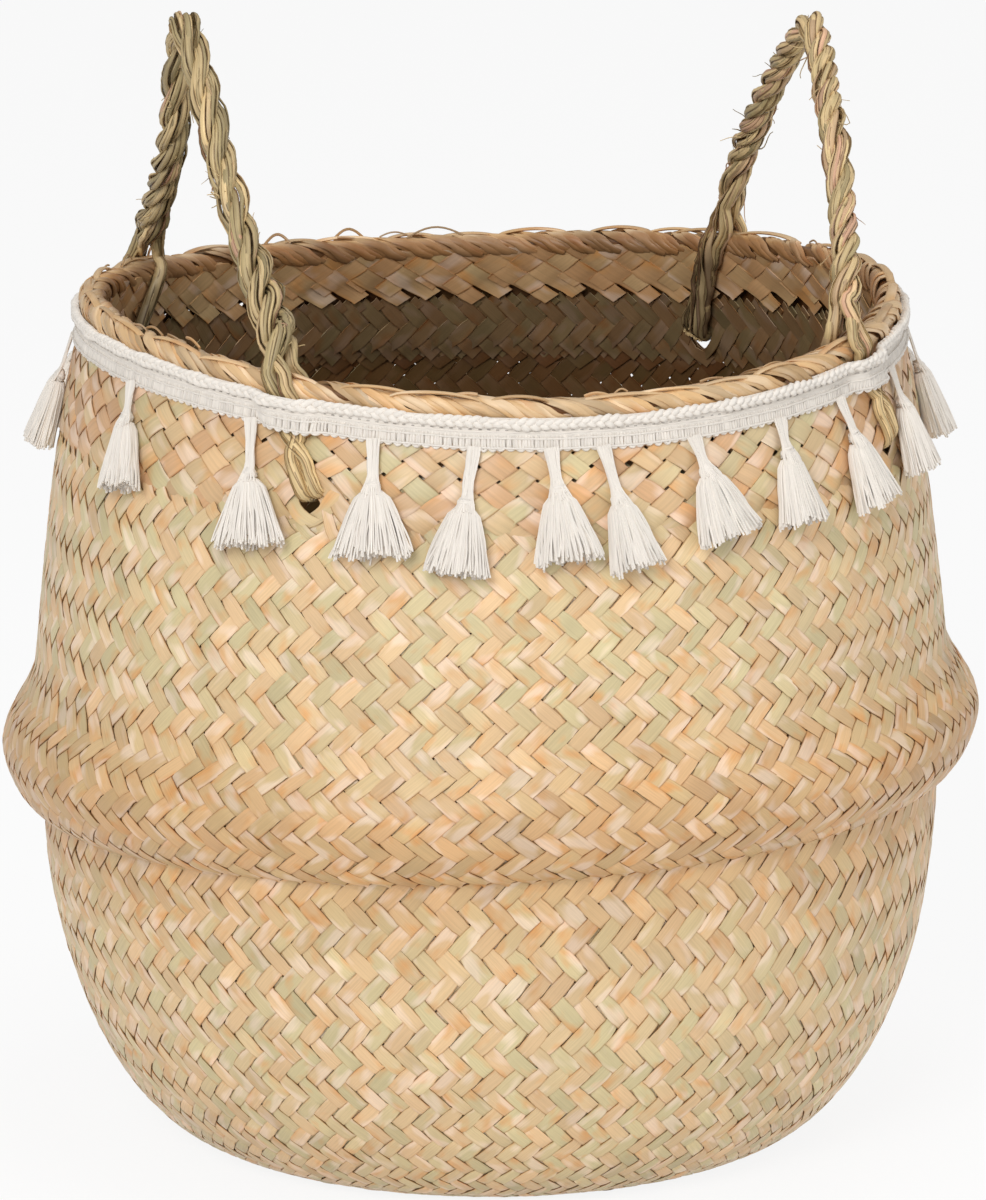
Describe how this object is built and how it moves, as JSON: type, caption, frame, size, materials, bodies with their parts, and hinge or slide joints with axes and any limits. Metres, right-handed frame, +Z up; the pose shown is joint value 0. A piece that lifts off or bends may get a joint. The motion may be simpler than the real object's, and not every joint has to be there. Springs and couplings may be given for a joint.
{
  "type": "belly basket",
  "caption": "Round woven basket with a bulging fold round its waist, two upright rope handles, and a sewn trim with hanging tassels round its open rim.",
  "frame": {"origin": "middle of the flat woven base, on its underside", "axes": "+Z up through the open mouth; the two rope handles stand at -X (handle_left) and +X (handle_right), and -Y is the front that the picture shows"},
  "size_m": [0.36, 0.36, 0.418],
  "materials": {
    "seagrass": "flat dried grass strands, satin face, straw and pale green",
    "seagrass_hem": "wider doubled grass strands, browner, satin face",
    "plaited_border": "plaited strand ends, golden straw",
    "cotton": "off-white cotton gimp braid, matt",
    "sewing_thread": "grey cotton sewing thread, matt",
    "tassel_cotton": "off-white cotton yarn bundle, matt",
    "rope": "twisted grass rope, green and straw plies, satin streaks"
  },
  "bodies": {
    "lower_basket": {"base_mat": "seagrass", "lower_bowl": "seagrass", "belly_fold": "seagrass"},
    "upper_basket": {"upper_wall": "seagrass", "hem_band": "seagrass_hem", "rim_border": "plaited_border", "trim_cord": "cotton", "trim_tape": "cotton", "trim_stitching": "sewing_thread", "tail_left_front": "rope", "tail_left_back": "rope", "tail_right_front": "rope", "tail_right_back": "rope"},
    "handle_left": {"handle_left": "rope"},
    "handle_right": {"handle_right": "rope"},
    "tassel_01": {"tassel_01": "tassel_cotton"},
    "tassel_02": {"tassel_02": "tassel_cotton"},
    "tassel_03": {"tassel_03": "tassel_cotton"},
    "tassel_04": {"tassel_04": "tassel_cotton"},
    "tassel_05": {"tassel_05": "tassel_cotton"},
    "tassel_06": {"tassel_06": "tassel_cotton"},
    "tassel_07": {"tassel_07": "tassel_cotton"},
    "tassel_08": {"tassel_08": "tassel_cotton"},
    "tassel_09": {"tassel_09": "tassel_cotton"},
    "tassel_10": {"tassel_10": "tassel_cotton"},
    "tassel_11": {"tassel_11": "tassel_cotton"},
    "tassel_12": {"tassel_12": "tassel_cotton"},
    "tassel_13": {"tassel_13": "tassel_cotton"},
    "tassel_14": {"tassel_14": "tassel_cotton"},
    "tassel_15": {"tassel_15": "tassel_cotton"},
    "tassel_16": {"tassel_16": "tassel_cotton"},
    "tassel_17": {"tassel_17": "tassel_cotton"},
    "tassel_18": {"tassel_18": "tassel_cotton"},
    "tassel_19": {"tassel_19": "tassel_cotton"},
    "tassel_20": {"tassel_20": "tassel_cotton"},
    "tassel_21": {"tassel_21": "tassel_cotton"},
    "tassel_22": {"tassel_22": "tassel_cotton"}
  },
  "joints": [
    {"name": "belly_fold_press", "type": "slide", "parent": "lower_basket", "child": "upper_basket", "axis": [0, 0, 1], "range_m": [-0.03, 0.005], "deforming": ["belly_fold"]},
    {"name": "handle_left_swing", "type": "hinge", "parent": "upper_basket", "child": "handle_left", "pos_m": [-0.10378, -0.00453, 0.31445], "axis": [-0.0436, 0.999, 0.0047], "range_deg": [-75, 85]},
    {"name": "handle_right_swing", "type": "hinge", "parent": "upper_basket", "child": "handle_right", "pos_m": [0.10954, -0.00373, 0.31509], "axis": [-0.034, -0.9994, -0.0039], "range_deg": [-75, 85]},
    {"name": "tassel_01_swing", "type": "hinge", "parent": "upper_basket", "child": "tassel_01", "pos_m": [-0.15076, 0.03067, 0.29629], "axis": [0.1994, 0.9799, 0], "range_deg": [0, 80]},
    {"name": "tassel_02_swing", "type": "hinge", "parent": "upper_basket", "child": "tassel_02", "pos_m": [-0.14497, -0.05134, 0.29556], "axis": [-0.3338, 0.9426, 0], "range_deg": [0, 80]},
    {"name": "tassel_03_swing", "type": "hinge", "parent": "upper_basket", "child": "tassel_03", "pos_m": [-0.11257, -0.10497, 0.29196], "axis": [-0.682, 0.7314, 0], "range_deg": [0, 80]},
    {"name": "tassel_04_swing", "type": "hinge", "parent": "upper_basket", "child": "tassel_04", "pos_m": [-0.07482, -0.13443, 0.28891], "axis": [-0.8738, 0.4863, 0], "range_deg": [0, 80]},
    {"name": "tassel_05_swing", "type": "hinge", "parent": "upper_basket", "child": "tassel_05", "pos_m": [-0.04191, -0.1481, 0.28726], "axis": [-0.9622, 0.2723, 0], "range_deg": [0, 80]},
    {"name": "tassel_06_swing", "type": "hinge", "parent": "upper_basket", "child": "tassel_06", "pos_m": [-0.01474, -0.15311, 0.2866], "axis": [-0.9954, 0.0958, 0], "range_deg": [0, 80]},
    {"name": "tassel_07_swing", "type": "hinge", "parent": "upper_basket", "child": "tassel_07", "pos_m": [0.00403, -0.15385, 0.28651], "axis": [-0.9997, -0.0262, 0], "range_deg": [0, 80]},
    {"name": "tassel_08_swing", "type": "hinge", "parent": "upper_basket", "child": "tassel_08", "pos_m": [0.03824, -0.14895, 0.28713], "axis": [-0.9686, -0.2487, 0], "range_deg": [0, 80]},
    {"name": "tassel_09_swing", "type": "hinge", "parent": "upper_basket", "child": "tassel_09", "pos_m": [0.07338, -0.13514, 0.28882], "axis": [-0.8788, -0.4772, 0], "range_deg": [0, 80]},
    {"name": "tassel_10_swing", "type": "hinge", "parent": "upper_basket", "child": "tassel_10", "pos_m": [0.10113, -0.11592, 0.29091], "axis": [-0.7536, -0.6574, 0], "range_deg": [0, 80]},
    {"name": "tassel_11_swing", "type": "hinge", "parent": "upper_basket", "child": "tassel_11", "pos_m": [0.12971, -0.08263, 0.29375], "axis": [-0.5373, -0.8434, 0], "range_deg": [0, 80]},
    {"name": "tassel_12_swing", "type": "hinge", "parent": "upper_basket", "child": "tassel_12", "pos_m": [0.15046, -0.03198, 0.29626], "axis": [-0.2079, -0.9781, 0], "range_deg": [0, 80]},
    {"name": "tassel_13_swing", "type": "hinge", "parent": "upper_basket", "child": "tassel_13", "pos_m": [0.15382, 0.00268, 0.29669], "axis": [0.0175, -0.9998, 0], "range_deg": [0, 80]},
    {"name": "tassel_14_swing", "type": "hinge", "parent": "upper_basket", "child": "tassel_14", "pos_m": [0.14858, 0.03981, 0.29601], "axis": [0.2588, -0.9659, 0], "range_deg": [0, 80]},
    {"name": "tassel_15_swing", "type": "hinge", "parent": "upper_basket", "child": "tassel_15", "pos_m": [0.13458, 0.0746, 0.2943], "axis": [0.4848, -0.8746, 0], "range_deg": [0, 80]},
    {"name": "tassel_16_swing", "type": "hinge", "parent": "upper_basket", "child": "tassel_16", "pos_m": [0.09043, 0.12447, 0.29002], "axis": [0.809, -0.5878, 0], "range_deg": [0, 80]},
    {"name": "tassel_17_swing", "type": "hinge", "parent": "upper_basket", "child": "tassel_17", "pos_m": [0.05762, 0.14261, 0.28793], "axis": [0.9272, -0.3746, 0], "range_deg": [0, 80]},
    {"name": "tassel_18_swing", "type": "hinge", "parent": "upper_basket", "child": "tassel_18", "pos_m": [0.02142, 0.15238, 0.2867], "axis": [0.9903, -0.1392, 0], "range_deg": [0, 80]},
    {"name": "tassel_19_swing", "type": "hinge", "parent": "upper_basket", "child": "tassel_19", "pos_m": [-0.01608, 0.15301, 0.28661], "axis": [0.9945, 0.1045, 0], "range_deg": [0, 80]},
    {"name": "tassel_20_swing", "type": "hinge", "parent": "upper_basket", "child": "tassel_20", "pos_m": [-0.05007, 0.14541, 0.28758], "axis": [0.9455, 0.3256, 0], "range_deg": [0, 80]},
    {"name": "tassel_21_swing", "type": "hinge", "parent": "upper_basket", "child": "tassel_21", "pos_m": [-0.08154, 0.13049, 0.28936], "axis": [0.848, 0.5299, 0], "range_deg": [0, 80]},
    {"name": "tassel_22_swing", "type": "hinge", "parent": "upper_basket", "child": "tassel_22", "pos_m": [-0.13828, 0.06744, 0.29474], "axis": [0.4384, 0.8988, 0], "range_deg": [0, 80]}
  ]
}
